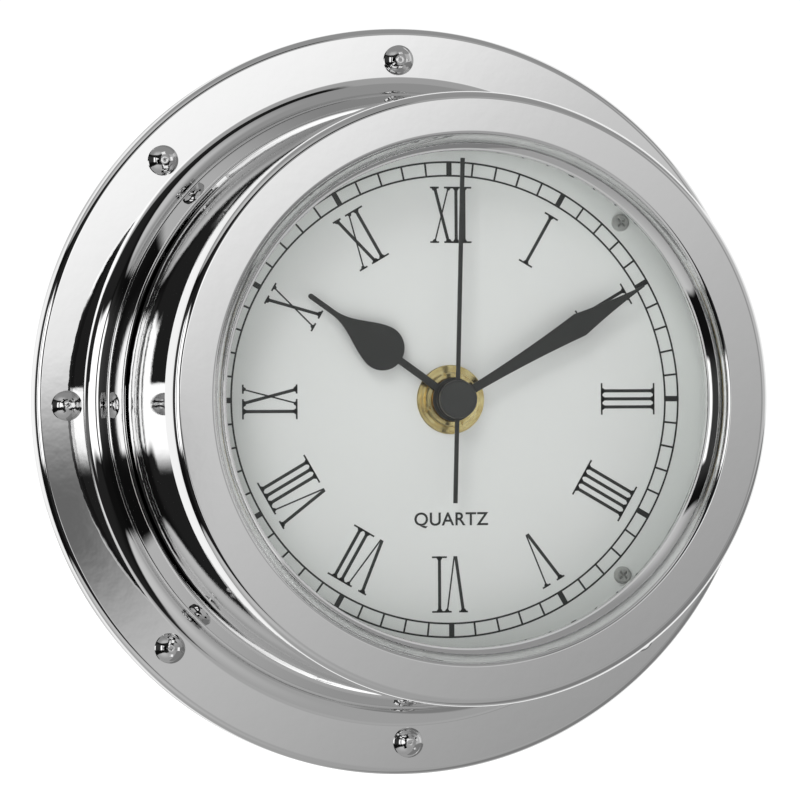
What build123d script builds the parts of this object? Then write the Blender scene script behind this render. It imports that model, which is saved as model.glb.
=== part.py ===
from build123d import *
from math import asin, cos, degrees, pi, radians, sin, sqrt
import os

# A bulkhead clock in a turned metal case: a flanged base screwed to the wall, an instrument drum that
# twists into it, a bezel with flat glass, a printed dial, three hands and a battery quartz movement.
# Frame: +X right, +Z up, the clock faces -Y. The wall plane is y = 0 and the hands' axis is the Y axis.
# A depth is a distance in front of the wall, so a point at depth d has y = -d.

os.makedirs("parts", exist_ok=True)

# ---------------------------------------------------------------- driving dimensions, millimetres
# base
flange_width = 9.8
flange_depth = 4.0
flange_round = 1.4
collar_wall = 6.35
cove_width = 3.7
cove_height = 2.3
bead_depth = 9.5
bead_r = 0.45
bead_set = 0.1
collar_depth = 15.0
collar_lip = 0.45
collar_draft = 0.3
collar_cone = 1.75

# flange screws
screw_count = 8
screw_inset = 3.3
screw_head_r = 3.0
screw_head_height = 1.9
screw_head_rim = 0.5
screw_head_crown = 0.42
screw_neck_r = 1.7
screw_shank_r = 1.45
screw_reach = 10.0
screw_point = 2.0
cross_length = 3.3
cross_width = 0.75
cross_deep = 1.2
cross_step = 37
screw_turn = -0.5

# drum and twist lock
drum_r = 58.5
drum_wall = 2.0
drum_rear = 1.5
drum_front = 54.6
lock_count = 3
lock_depth = 6.5
lock_pin_r = 1.25
lock_pin_length = 3.2
lock_pin_press = 1.4
lock_turn = 20.0
lock_first = 30.0

# bezel and glass
bezel_overhang = 0.3
bezel_draft = 0.35
bezel_height = 6.0
bezel_crown = 0.06
bezel_round = 1.5
bezel_width = 8.15
bezel_inner_round = 0.8
bezel_lip_width = 2.95
bezel_fall = 3.6
bezel_spigot = 4.6
bezel_spigot_wall = 4.4
bezel_lip_land = 0.95
bezel_lip_fall = 0.1
bezel_lip_round = 0.35
bezel_slope_in = 0.35
bezel_slope_out = 0.12
glass_thick = 2.0
glass_ahead = 0.8
glass_edge = 0.3
retainer_thick = 1.6
retainer_width = 3.2

# dial
dial_to_glass = 13.6
dial_thick = 1.0
dial_edge_gap = 0.7
dial_screw_inset = 7.9
dial_screw_count = 4
dial_screw_r = 0.9
dial_screw_head_r = 1.7
dial_screw_head_height = 1.1
dial_screw_reach = 3.6
dial_screw_first = 45.0
dial_screw_round = 0.6
dial_cross_length = 1.9
dial_cross_width = 0.42
dial_cross_deep = 0.7
support_thick = 2.0
support_width = 11.1

# hub
washer_width = 2.75
washer_thick = 0.4
washer_edge = 0.15
nut_width = 2.05
nut_height = 1.4
nut_step = 0.35
nut_shoulder = 0.7
nut_edge = 0.25
nut_countersink = 0.4
nut_slots = 4
nut_slot_first = 20.0
nut_slot_length = 1.3
nut_slot_width = 0.7
nut_slot_deep = 0.7
cushion_thick = 0.6
cushion_width = 5.05
bush_r = 3.95
bush_stand = 2.0
bush_edge = 0.35
bush_mouth = 0.25
hour_pipe_r = 2.55
minute_pipe_r = 1.55
second_arbor_r = 0.55

# hands: how far their backs stand off the dial, and clock angles at rest in degrees
hand_thick = 0.4
hour_hand_stand = 2.6
minute_hand_stand = 4.2
second_hand_stand = 5.4
hour_angle = 305.2
minute_angle = 60.0
second_angle = 1.6
hour_length = 35.0
hour_bulb_centre = 17.3
hour_bulb_r = 4.35
hour_boss_r = 4.2
hour_stem = 1.4
hour_tip = 1.0
hour_neck = 29.2
hour_flank = 12.0
hour_belly = -30.0
hour_pull = 1.1
minute_length = 43.8
minute_boss_r = 3.8
minute_root = 1.6
minute_mid = 2.3
minute_wide = 4.7
minute_mid_at = 13.5
minute_wide_at = 28.8
minute_waist = 0.42
minute_waist_at = 0.52
minute_point = 0.24
second_length = 46.5
second_tail = 20.0
second_width = 0.8
cap_r = 3.7
cap_height = 1.0
cap_round = 0.5

# movement box
box_corner = 5.0
box_wall = 1.6
box_floor = 1.6
front_plate = 1.6
bay_shell = 1.2
battery_r = 7.25
battery_length = 50.5
battery_button_r = 2.75
battery_button = 1.3
battery_edge = 0.7
contact_thick = 0.4
contact_width = 11.0
contact_height = 12.0
contact_spring_r = 2.6
contact_spring_wire = 0.7
contact_spring_length = 1.5

# train: tooth counts and layer depths
rotor_teeth = 8
step_teeth = 48
step_pinion_teeth = 10
second_teeth = 50
second_pinion_teeth = 8
third_teeth = 60
third_pinion_teeth = 8
centre_teeth = 64
minute_teeth = 12
motion_teeth = 36
motion_pinion_teeth = 10
hour_teeth = 40
knob_teeth = 12
rotor_module = 0.30
second_module = 0.32
third_distance = 9.3
motion_module = 0.35
wheel_thick = 0.8
layer_pitch = 1.5
hour_layer_under = 1.4
arbor_r = 0.45
pivot_length = 0.7
pivot_hole = 0.9
pinion_over = 0.1
minute_pipe_tail = 0.3
minute_pipe_past = 0.2
hour_pipe_past = 0.4
step_angle = 135.0
third_angle = 30.0
motion_angle = 200.0
knob_direction = 160.0
rotor_direction = 150.0
magnet_r = 3.0
magnet_thick = 2.2
bridge_lift = 0.5
bridge_thick = 1.0
bridge_width = 43.0
bridge_height = 23.0
bridge_corner = 2.0
bridge_centre = (-2.0, 2.9)
bridge_posts = ((-20.5, 3.5), (14.5, -6.0), (14.5, 11.5))
bridge_post_r = 1.4
stator_lift = 2.3
stator_thick = 1.0
stator_gap = 0.5
stator_ring = 1.4
stator_bar_z = 11.0
stator_bar_height = 5.0
stator_leg_width = 3.2
stator_leg_inset = 0.2
stator_leg_over = 0.1
stator_posts = ((10.5, 23.5), (23.5, 23.5), (23.5, 14.0))
stator_post_r = 1.2
core_thick = 2.0
core_height = 3.0
coil_z = 20.2
coil_r = 4.0
coil_length = 20.0
coil_offset = 6.0
bobbin_wall = 0.6
bobbin_corner = 0.5
bobbin_cheek = 0.8
bobbin_rim = 0.5
knob_r = 4.6
knob_height = 3.4
knob_shaft_r = 1.2
knob_taper = 4
knob_flutes = 24
knob_flute_r = 0.3
knob_flute_out = 0.1
board_centre = (16.8, 18.5)
board_width = 17.5
board_height = 14.5
board_thick = 1.0
chip_centre = (13.5, 20.0)
chip_side = 6.0
chip_corner = 0.6
chip_thick = 1.3
crystal_x = 18.5
crystal_z = 15.0
crystal_r = 1.0
crystal_length = 6.2
crystal_edge = 0.3

# clearances
running = 0.08
free_gap = 0.35
thread_gap = 0.05
end_shake = 0.1
knob_gap = 0.4
battery_top_gap = 0.35
battery_front_gap = 0.15
battery_rear_gap = 0.35
crystal_gap = 0.05

# ---------------------------------------------------------------- derived dimensions
collar_bore_r = drum_r + free_gap
cove_r = collar_bore_r + collar_wall
flange_r = cove_r + flange_width
screw_circle_r = cove_r + screw_inset
lock_pin_outer_r = collar_bore_r + lock_pin_press
drum_bore_r = drum_r - drum_wall
rim_r = drum_r + bezel_overhang
side_r = rim_r - bezel_draft
bezel_inner_r = side_r - bezel_width
bezel_lip_r = bezel_inner_r - bezel_lip_width
spigot_r = drum_bore_r - thread_gap
recess_r = spigot_r - bezel_spigot_wall
glass_r = recess_r - thread_gap
dial_r = drum_bore_r - dial_edge_gap
dial_screw_circle_r = drum_bore_r - dial_screw_inset
support_inner_r = drum_bore_r - support_width
bezel_face = drum_front + bezel_height
bezel_lip_depth = bezel_face - bezel_fall
glass_front = drum_front + glass_ahead
dial_front = glass_front - dial_to_glass
dial_back = dial_front - dial_thick
washer_r = bush_r + washer_width
nut_r = bush_r + nut_width
cushion_r = bush_r + cushion_width
bush_top = dial_front + bush_stand
hour_hand_depth = dial_front + hour_hand_stand
minute_hand_depth = dial_front + minute_hand_stand
second_hand_depth = dial_front + second_hand_stand
box_front = dial_back - cushion_thick
plate_back = box_front - front_plate
box_rear = plate_back - battery_front_gap - 2 * battery_r - battery_rear_gap
box_side = battery_length + contact_spring_length + 2 * contact_thick + 2 * box_wall
bay_half = box_side / 2 - box_wall
bay_bottom = -bay_half
bay_top = bay_bottom + 2 * battery_r + 2 * battery_top_gap
bridge_depth = box_rear + box_floor + bridge_lift
stator_depth = bridge_depth + stator_lift
bush_bore_r = hour_pipe_r + running
hour_bore_r = minute_pipe_r + running
minute_bore_r = second_arbor_r + running
screw_crown_r = screw_head_r * cos(pi / 4)
motion_distance = motion_module * (minute_teeth + motion_teeth) / 2
hour_module = 2 * motion_distance / (motion_pinion_teeth + hour_teeth)
knob_distance = motion_module * (motion_teeth + knob_teeth) / 2
third_module = 2 * third_distance / (second_pinion_teeth + third_teeth)
centre_module = 2 * third_distance / (third_pinion_teeth + centre_teeth)
step_distance = second_module * (step_pinion_teeth + second_teeth) / 2
rotor_distance = rotor_module * (rotor_teeth + step_teeth) / 2
hour_layer = plate_back - hour_layer_under
motion_layer = hour_layer - layer_pitch
centre_layer = motion_layer - layer_pitch
third_layer = centre_layer - layer_pitch
second_layer = third_layer - layer_pitch
step_layer = second_layer - layer_pitch


def polar(radius, degrees_from_x, centre=(0, 0)):
    """A point at a radius and an anticlockwise angle from +X, seen from the front."""
    turn = radians(degrees_from_x)
    return (centre[0] + radius * cos(turn), centre[1] + radius * sin(turn))


motion_centre = polar(motion_distance, motion_angle)
knob_centre = polar(knob_distance, knob_direction, motion_centre)
third_centre = polar(third_distance, third_angle)
step_centre = polar(step_distance, step_angle)
rotor_centre = polar(rotor_distance, rotor_direction, step_centre)


def facing(depth, centre=(0, 0)):
    """The plane at a depth that faces the viewer, with x along +X and y along +Z."""
    return Plane(origin=(centre[0], -depth, centre[1]), x_dir=(1, 0, 0), z_dir=(0, -1, 0))


def hand_plane(depth, clock_angle):
    """The facing plane turned so that its y runs from the hub to the hand's tip."""
    turn = radians(clock_angle)
    return Plane(origin=(0, -depth, 0), x_dir=(cos(turn), 0, -sin(turn)), z_dir=(0, -1, 0))


def outward(depth, degrees_from_x, radius):
    """The plane at a radius whose z points away from the clock's axis."""
    x, z = polar(1, degrees_from_x)
    return Plane(origin=(radius * x, -depth, radius * z), x_dir=(0, -1, 0), z_dir=(x, 0, z))


def rz(radius, depth):
    """A point of a turned profile, drawn in the XY plane."""
    return (radius, -depth)


def corner(sketch, radius, depth):
    """The profile's vertex nearest to a radius and depth."""
    return sketch.vertices().sort_by_distance((radius, -depth, 0))[0]


def gear_points(teeth, module, phase=0.0):
    """The outline of a fine clock gear with slim straight-sided teeth, a tooth on the phase angle."""
    pitch_r = module * teeth / 2
    root_r = pitch_r - 1.15 * module
    tip_r = pitch_r + 0.85 * module
    pitch = 2 * pi / teeth
    points = []
    for i in range(teeth):
        middle = radians(phase) + i * pitch
        for radius, offset in ((root_r, -0.25), (tip_r, -0.09), (tip_r, 0.09), (root_r, 0.25)):
            angle = middle + offset * pitch
            points.append((radius * cos(angle), radius * sin(angle)))
    return points


def meshing_phase(teeth, towards, partner_teeth, partner_phase):
    """The phase of a gear whose tooth gap meets a partner's tooth; towards is the partner's direction."""
    partner_side = towards + 180
    partner_pitch = 360 / partner_teeth
    lead = ((partner_side - partner_phase) % partner_pitch) / partner_pitch
    return towards + (0.5 + lead) * 360 / teeth


# ---------------------------------------------------------------- base
with BuildPart() as mounting_base:
    with BuildSketch(Plane.XY) as base_profile:
        with BuildLine():
            wall_foot = rz(cove_r - cove_width, flange_depth + cove_height)
            bead_foot = rz(cove_r - cove_width - collar_draft, bead_depth - bead_r)
            bead_top = rz(cove_r - cove_width - collar_draft - bead_set, bead_depth + bead_r)
            bead_crest = rz(cove_r - cove_width - collar_draft + bead_r - bead_set, bead_depth)
            mouth_r = cove_r - cove_width - collar_draft - collar_cone
            Polyline(
                bead_top,
                rz(mouth_r, collar_depth),
                rz(collar_bore_r, collar_depth),
                rz(collar_bore_r, 0),
                rz(flange_r, 0),
                rz(flange_r, flange_depth),
                rz(cove_r, flange_depth),
            )
            EllipticalCenterArc(
                rz(cove_r, flange_depth + cove_height), cove_width, cove_height, 90, arc_size=90
            )
            Line(wall_foot, bead_foot)
            ThreePointArc(bead_foot, bead_crest, bead_top)
        make_face()
        fillet(corner(base_profile, flange_r, flange_depth), flange_round)
        fillet(corner(base_profile, mouth_r, collar_depth), collar_lip)
    revolve(axis=Axis.Y)
    with Locations(facing(flange_depth)):
        with PolarLocations(screw_circle_r, screw_count, start_angle=90 - screw_turn):
            Hole(screw_neck_r + thread_gap)
    for i in range(lock_count):
        with Locations(outward(lock_depth, lock_first + i * 360 / lock_count, lock_pin_outer_r)):
            Cylinder(
                lock_pin_r,
                lock_pin_length,
                align=(Align.CENTER, Align.CENTER, Align.MAX),
                mode=Mode.SUBTRACT,
            )
mounting_base.part.label = "mounting_base"
export_step(mounting_base.part, "parts/mounting_base.step")

with BuildPart() as lock_pins:
    for i in range(lock_count):
        with Locations(outward(lock_depth, lock_first + i * 360 / lock_count, lock_pin_outer_r)):
            Cylinder(lock_pin_r, lock_pin_length, align=(Align.CENTER, Align.CENTER, Align.MAX))
lock_pins.part.label = "lock_pins"
export_step(lock_pins.part, "parts/lock_pins.step")

with BuildPart() as flange_screws:
    with BuildSketch(Plane.XY) as screw_profile:
        with BuildLine():
            head_top = flange_depth + screw_head_height
            Polyline(
                rz(screw_head_r, flange_depth + screw_head_rim),
                rz(screw_head_r, flange_depth),
                rz(screw_neck_r, flange_depth),
                rz(screw_neck_r, 0),
                rz(screw_shank_r, 0),
                rz(screw_shank_r, screw_point - screw_reach),
                rz(0, -screw_reach),
                rz(0, head_top),
            )
            ThreePointArc(
                rz(0, head_top),
                rz(screw_crown_r, head_top - screw_head_crown),
                rz(screw_head_r, flange_depth + screw_head_rim),
            )
        make_face()
    screw_blank = revolve(axis=Axis.Y, mode=Mode.PRIVATE)
    with BuildSketch(facing(head_top), mode=Mode.PRIVATE) as cross_sketch:
        Rectangle(cross_length, cross_width)
        Rectangle(cross_width, cross_length)
        Circle(cross_width)
    cross_cut = extrude(cross_sketch.sketch, amount=-cross_deep, mode=Mode.PRIVATE)
    screw_body = screw_blank - cross_cut
    for i in range(screw_count):
        clock = screw_turn + i * 360 / screw_count
        x, z = polar(screw_circle_r, 90 - clock)
        add(Location((x, 0, z), (0, cross_step * i % 90, 0)) * screw_body)
flange_screws.part.label = "flange_screws"
export_step(flange_screws.part, "parts/flange_screws.step")

# ---------------------------------------------------------------- drum, bezel and glass
with BuildPart() as case_drum:
    with BuildSketch(facing(drum_rear)):
        Circle(drum_r)
        Circle(drum_bore_r, mode=Mode.SUBTRACT)
    extrude(amount=drum_front - drum_rear)
    slot_half = lock_pin_r + free_gap
    cut_through = 2 * drum_wall
    cut_from = drum_bore_r - drum_wall / 2
    upwards = (Align.CENTER, Align.CENTER, Align.MIN)
    for i in range(lock_count):
        pin_at = lock_first + i * 360 / lock_count
        with Locations(outward(lock_depth, pin_at, cut_from)):
            Cylinder(slot_half, cut_through, align=upwards, mode=Mode.SUBTRACT)
        with Locations(outward(lock_depth, pin_at - lock_turn, cut_from)):
            Cylinder(slot_half, cut_through, align=upwards, mode=Mode.SUBTRACT)
            Box(
                2 * lock_depth,
                2 * slot_half,
                cut_through,
                align=(Align.MAX, Align.CENTER, Align.MIN),
                mode=Mode.SUBTRACT,
            )
        with BuildSketch(Plane.XY.rotated((0, -pin_at, 0))):
            with Locations((drum_r, -lock_depth)):
                Rectangle(2 * cut_through, 2 * slot_half)
        revolve(axis=Axis.Y, revolution_arc=lock_turn, mode=Mode.SUBTRACT)
case_drum.part.label = "case_drum"
export_step(case_drum.part, "parts/case_drum.step")

with BuildPart() as dial_support:
    with BuildSketch(facing(dial_back - support_thick)):
        Circle(drum_bore_r)
        Circle(support_inner_r, mode=Mode.SUBTRACT)
        with PolarLocations(dial_screw_circle_r, dial_screw_count, start_angle=dial_screw_first):
            Circle(dial_screw_r, mode=Mode.SUBTRACT)
    extrude(amount=support_thick)
dial_support.part.label = "dial_support"
export_step(dial_support.part, "parts/dial_support.step")

with BuildPart() as bezel:
    with BuildSketch(Plane.XY) as bezel_profile:
        crest_r = (bezel_inner_r + side_r) / 2
        lip_step_r = bezel_lip_r + bezel_lip_land
        lip_foot = bezel_lip_depth - bezel_lip_fall
        with BuildLine():
            Polyline(
                rz(bezel_lip_r, lip_foot),
                rz(bezel_lip_r, glass_front),
                rz(recess_r, glass_front),
                rz(recess_r, drum_front - bezel_spigot),
                rz(spigot_r, drum_front - bezel_spigot),
                rz(spigot_r, drum_front),
                rz(rim_r, drum_front),
                rz(side_r, bezel_face),
            )
            ThreePointArc(
                rz(side_r, bezel_face), rz(crest_r, bezel_face + bezel_crown), rz(bezel_inner_r, bezel_face)
            )
            Spline(
                rz(bezel_inner_r, bezel_face),
                rz((bezel_inner_r + lip_step_r) / 2, (bezel_face + bezel_lip_depth) / 2),
                rz(lip_step_r, bezel_lip_depth),
                tangents=[(-bezel_slope_in, 1), (-1, bezel_slope_out)],
            )
            Line(rz(lip_step_r, bezel_lip_depth), rz(bezel_lip_r, lip_foot))
        make_face()
        fillet(corner(bezel_profile, side_r, bezel_face), bezel_round)
        fillet(corner(bezel_profile, bezel_inner_r, bezel_face), bezel_inner_round)
        fillet(corner(bezel_profile, bezel_lip_r, lip_foot), bezel_lip_round)
    revolve(axis=Axis.Y)
bezel.part.label = "bezel"
export_step(bezel.part, "parts/bezel.step")

with BuildPart() as glass:
    with BuildSketch(facing(glass_front - glass_thick)):
        Circle(glass_r)
    extrude(amount=glass_thick)
    chamfer(glass.edges().filter_by(GeomType.CIRCLE), glass_edge)
glass.part.label = "glass"
export_step(glass.part, "parts/glass.step")

with BuildPart() as glass_retainer:
    with BuildSketch(facing(glass_front - glass_thick - retainer_thick)):
        Circle(glass_r)
        Circle(glass_r - retainer_width, mode=Mode.SUBTRACT)
    extrude(amount=retainer_thick)
glass_retainer.part.label = "glass_retainer"
export_step(glass_retainer.part, "parts/glass_retainer.step")

# ---------------------------------------------------------------- dial
with BuildPart() as dial:
    with BuildSketch(facing(dial_back)):
        Circle(dial_r)
        Circle(bush_r + thread_gap, mode=Mode.SUBTRACT)
        with PolarLocations(dial_screw_circle_r, dial_screw_count, start_angle=dial_screw_first):
            Circle(dial_screw_r + thread_gap, mode=Mode.SUBTRACT)
    extrude(amount=dial_thick)
dial.part.label = "dial"
export_step(dial.part, "parts/dial.step")

with BuildPart() as dial_screws:
    with BuildSketch(facing(dial_front - dial_screw_reach)):
        with PolarLocations(dial_screw_circle_r, dial_screw_count, start_angle=dial_screw_first):
            Circle(dial_screw_r)
    extrude(amount=dial_screw_reach)
    with BuildSketch(facing(dial_front)):
        with PolarLocations(dial_screw_circle_r, dial_screw_count, start_angle=dial_screw_first):
            Circle(dial_screw_head_r)
    extrude(amount=dial_screw_head_height)
    fillet(dial_screws.faces().sort_by(Axis.Y)[:dial_screw_count].edges(), dial_screw_round)
    with BuildSketch(facing(dial_front + dial_screw_head_height)):
        with PolarLocations(dial_screw_circle_r, dial_screw_count, start_angle=dial_screw_first):
            Rectangle(dial_cross_length, dial_cross_width)
            Rectangle(dial_cross_width, dial_cross_length)
    extrude(amount=-dial_cross_deep, mode=Mode.SUBTRACT)
dial_screws.part.label = "dial_screws"
export_step(dial_screws.part, "parts/dial_screws.step")

with BuildPart() as dial_cushion:
    with BuildSketch(facing(box_front)):
        Circle(cushion_r)
        Circle(bush_r + thread_gap, mode=Mode.SUBTRACT)
    extrude(amount=cushion_thick)
dial_cushion.part.label = "dial_cushion"
export_step(dial_cushion.part, "parts/dial_cushion.step")

with BuildPart() as shaft_washer:
    with BuildSketch(facing(dial_front)):
        Circle(washer_r)
        Circle(bush_r + thread_gap, mode=Mode.SUBTRACT)
    extrude(amount=washer_thick)
    chamfer(shaft_washer.faces().sort_by(Axis.Y)[0].edges().sort_by(SortBy.LENGTH)[-1], washer_edge)
shaft_washer.part.label = "shaft_washer"
export_step(shaft_washer.part, "parts/shaft_washer.step")

with BuildPart() as shaft_nut:
    nut_base = dial_front + washer_thick
    with BuildSketch(Plane.XY):
        with BuildLine():
            Polyline(
                rz(bush_r, nut_base),
                rz(nut_r, nut_base),
                rz(nut_r, nut_base + nut_step),
                rz(nut_r - nut_shoulder, nut_base + nut_step),
                rz(nut_r - nut_shoulder, nut_base + nut_height - nut_edge),
                rz(nut_r - nut_shoulder - nut_edge, nut_base + nut_height),
                rz(bush_r + nut_countersink, nut_base + nut_height),
                rz(bush_r, nut_base + nut_height - nut_countersink),
                close=True,
            )
        make_face()
    revolve(axis=Axis.Y)
    with BuildSketch(facing(nut_base + nut_height)):
        with PolarLocations(nut_r - nut_shoulder, nut_slots, start_angle=nut_slot_first):
            Rectangle(nut_slot_length, nut_slot_width)
    extrude(amount=-nut_slot_deep, mode=Mode.SUBTRACT)
shaft_nut.part.label = "shaft_nut"
export_step(shaft_nut.part, "parts/shaft_nut.step")

with BuildPart() as threaded_bush:
    with BuildSketch(Plane.XY):
        with BuildLine():
            Polyline(
                rz(bush_bore_r, plate_back),
                rz(bush_r, plate_back),
                rz(bush_r, bush_top - bush_edge),
                rz(bush_r - bush_edge, bush_top),
                rz(bush_bore_r + bush_mouth, bush_top),
                rz(bush_bore_r, bush_top - bush_mouth),
                close=True,
            )
        make_face()
    revolve(axis=Axis.Y)
threaded_bush.part.label = "threaded_bush"
export_step(threaded_bush.part, "parts/threaded_bush.step")

# ---------------------------------------------------------------- hands
with BuildPart() as hour_hand:
    with BuildSketch(hand_plane(hour_hand_depth, hour_angle)):
        Circle(hour_boss_r)
        stem_meets = hour_bulb_centre - sqrt(hour_bulb_r**2 - (hour_stem / 2) ** 2)
        flank = polar(hour_bulb_r, hour_flank, (0, hour_bulb_centre))
        belly = polar(hour_bulb_r, hour_belly, (0, hour_bulb_centre))
        with BuildLine() as hour_outline:
            Line((hour_stem / 2, 0), (hour_stem / 2, stem_meets))
            ThreePointArc(
                (hour_stem / 2, stem_meets),
                belly,
                flank,
            )
            Spline(
                flank,
                (hour_tip / 2, hour_neck),
                tangents=[polar(1, 90 + hour_flank), (0, 1)],
                tangent_scalars=[1.0, hour_pull],
            )
            Line((hour_tip / 2, hour_neck), (hour_tip / 2, hour_length - hour_tip / 2))
            ThreePointArc(
                (hour_tip / 2, hour_length - hour_tip / 2),
                (hour_tip / 2 * sin(pi / 4), hour_length - hour_tip / 2 * (1 - cos(pi / 4))),
                (0, hour_length),
            )
            mirror(about=Plane.YZ)
            Line((-hour_stem / 2, 0), (hour_stem / 2, 0))
        make_face()
        Circle(hour_pipe_r, mode=Mode.SUBTRACT)
    extrude(amount=hand_thick)
hour_hand.part.label = "hour_hand"
export_step(hour_hand.part, "parts/hour_hand.step")

with BuildPart() as minute_hand:
    with BuildSketch(hand_plane(minute_hand_depth, minute_angle)):
        Circle(minute_boss_r)
        waist_at = minute_wide_at + minute_waist_at * (minute_length - minute_wide_at)
        with BuildLine():
            Spline(
                (minute_root / 2, 0),
                (minute_mid / 2, minute_mid_at),
                (minute_wide / 2, minute_wide_at),
            )
            ThreePointArc(
                (minute_wide / 2, minute_wide_at),
                (minute_wide / 2 * minute_waist, waist_at),
                (minute_point / 2, minute_length),
            )
            Line((minute_point / 2, minute_length), (0, minute_length))
            mirror(about=Plane.YZ)
            Line((-minute_root / 2, 0), (minute_root / 2, 0))
        make_face()
        Circle(minute_pipe_r, mode=Mode.SUBTRACT)
    extrude(amount=hand_thick)
minute_hand.part.label = "minute_hand"
export_step(minute_hand.part, "parts/minute_hand.step")

with BuildPart() as second_hand:
    with BuildSketch(hand_plane(second_hand_depth, second_angle)):
        with Locations((0, (second_length - second_tail) / 2)):
            Rectangle(second_width, second_length + second_tail)
        Circle(cap_r)
    extrude(amount=hand_thick)
second_hand.part.label = "second_hand"
export_step(second_hand.part, "parts/second_hand.step")

with BuildPart() as centre_cap:
    with BuildSketch(facing(second_hand_depth + hand_thick)):
        Circle(cap_r)
    extrude(amount=cap_height)
    fillet(centre_cap.faces().sort_by(Axis.Y)[0].edges(), cap_round)
centre_cap.part.label = "centre_cap"
export_step(centre_cap.part, "parts/centre_cap.step")

# ---------------------------------------------------------------- movement box
battery_z = bay_top - battery_r - battery_top_gap
battery_depth = plate_back - battery_r - battery_front_gap
bay_shell_z = bay_top + bay_shell

with BuildPart() as movement_front:
    with BuildSketch(facing(plate_back)):
        RectangleRounded(box_side, box_side, box_corner)
        Circle(bush_r, mode=Mode.SUBTRACT)
    extrude(amount=front_plate)
    with BuildSketch(facing(plate_back, motion_centre)):
        Circle(minute_bore_r)
    extrude(amount=-(plate_back - motion_layer + minute_pipe_tail))
    for centre in (third_centre, step_centre, rotor_centre):
        with BuildSketch(facing(plate_back, centre)):
            Circle(arbor_r + running)
        extrude(amount=pivot_hole, mode=Mode.SUBTRACT)
movement_front.part.label = "movement_front"
export_step(movement_front.part, "parts/movement_front.step")

with BuildPart() as movement_back:
    with BuildSketch(facing(box_rear)):
        RectangleRounded(box_side, box_side, box_corner)
    extrude(amount=plate_back - box_rear)
    gear_room = 2 * bay_half
    with BuildSketch(facing(box_rear + box_floor)):
        with Locations((0, (bay_half + bay_shell_z) / 2)):
            Rectangle(gear_room, bay_half - bay_shell_z)
    extrude(amount=plate_back - box_rear - box_floor, mode=Mode.SUBTRACT)
    with BuildSketch(facing(box_rear)):
        with Locations((0, (bay_top + bay_bottom) / 2)):
            Rectangle(gear_room, bay_top - bay_bottom)
    extrude(amount=plate_back - box_rear, mode=Mode.SUBTRACT)
    with BuildSketch(facing(box_rear, knob_centre)):
        Circle(knob_shaft_r + running)
    extrude(amount=box_floor, mode=Mode.SUBTRACT)
    with BuildSketch(facing(box_rear + box_floor)):
        with Locations(*bridge_posts):
            Circle(bridge_post_r)
    extrude(amount=bridge_depth - box_rear - box_floor)
    with BuildSketch(facing(box_rear + box_floor)):
        with Locations(*stator_posts):
            Circle(stator_post_r)
    extrude(amount=stator_depth - box_rear - box_floor)
movement_back.part.label = "movement_back"
export_step(movement_back.part, "parts/movement_back.step")

with BuildPart() as train_bridge:
    with BuildSketch(facing(bridge_depth)):
        with Locations(bridge_centre):
            RectangleRounded(bridge_width, bridge_height, bridge_corner)
        with Locations((0, 0)):
            Circle(second_arbor_r + running, mode=Mode.SUBTRACT)
        with Locations(third_centre, step_centre, rotor_centre):
            Circle(arbor_r + running, mode=Mode.SUBTRACT)
        with Locations(knob_centre):
            Circle(knob_shaft_r + free_gap, mode=Mode.SUBTRACT)
    extrude(amount=bridge_thick)
train_bridge.part.label = "train_bridge"
export_step(train_bridge.part, "parts/train_bridge.step")

# ---------------------------------------------------------------- going train
second_phase = 0.0
step_phase = meshing_phase(step_pinion_teeth, step_angle + 180, second_teeth, second_phase)
rotor_phase = meshing_phase(rotor_teeth, rotor_direction + 180, step_teeth, step_phase)
third_phase = meshing_phase(third_teeth, third_angle + 180, second_pinion_teeth, second_phase)
centre_phase = meshing_phase(centre_teeth, third_angle, third_pinion_teeth, third_phase)
arbor_rear = bridge_depth + end_shake
arbor_front = plate_back + pivot_length

with BuildPart() as rotor:
    with BuildSketch(facing(step_layer - pinion_over, rotor_centre)):
        with BuildLine():
            Polyline(gear_points(rotor_teeth, rotor_module, rotor_phase), close=True)
        make_face()
    extrude(amount=wheel_thick + 2 * pinion_over)
    with BuildSketch(facing(arbor_rear, rotor_centre)):
        Circle(arbor_r)
    extrude(amount=arbor_front - arbor_rear)
rotor.part.label = "rotor"
export_step(rotor.part, "parts/rotor.step")

with BuildPart() as rotor_magnet:
    with BuildSketch(facing(stator_depth + stator_thick / 2 - magnet_thick / 2, rotor_centre)):
        Circle(magnet_r)
        Circle(arbor_r, mode=Mode.SUBTRACT)
    extrude(amount=magnet_thick)
rotor_magnet.part.label = "rotor_magnet"
export_step(rotor_magnet.part, "parts/rotor_magnet.step")

with BuildPart() as step_wheel:
    with BuildSketch(facing(step_layer, step_centre)):
        with BuildLine():
            Polyline(gear_points(step_teeth, rotor_module, step_phase), close=True)
        make_face()
    extrude(amount=wheel_thick)
    with BuildSketch(facing(step_layer + wheel_thick, step_centre)):
        with BuildLine():
            Polyline(gear_points(step_pinion_teeth, second_module, step_phase), close=True)
        make_face()
    extrude(amount=second_layer + pinion_over - step_layer)
    with BuildSketch(facing(arbor_rear, step_centre)):
        Circle(arbor_r)
    extrude(amount=arbor_front - arbor_rear)
step_wheel.part.label = "step_wheel"
export_step(step_wheel.part, "parts/step_wheel.step")

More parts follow.
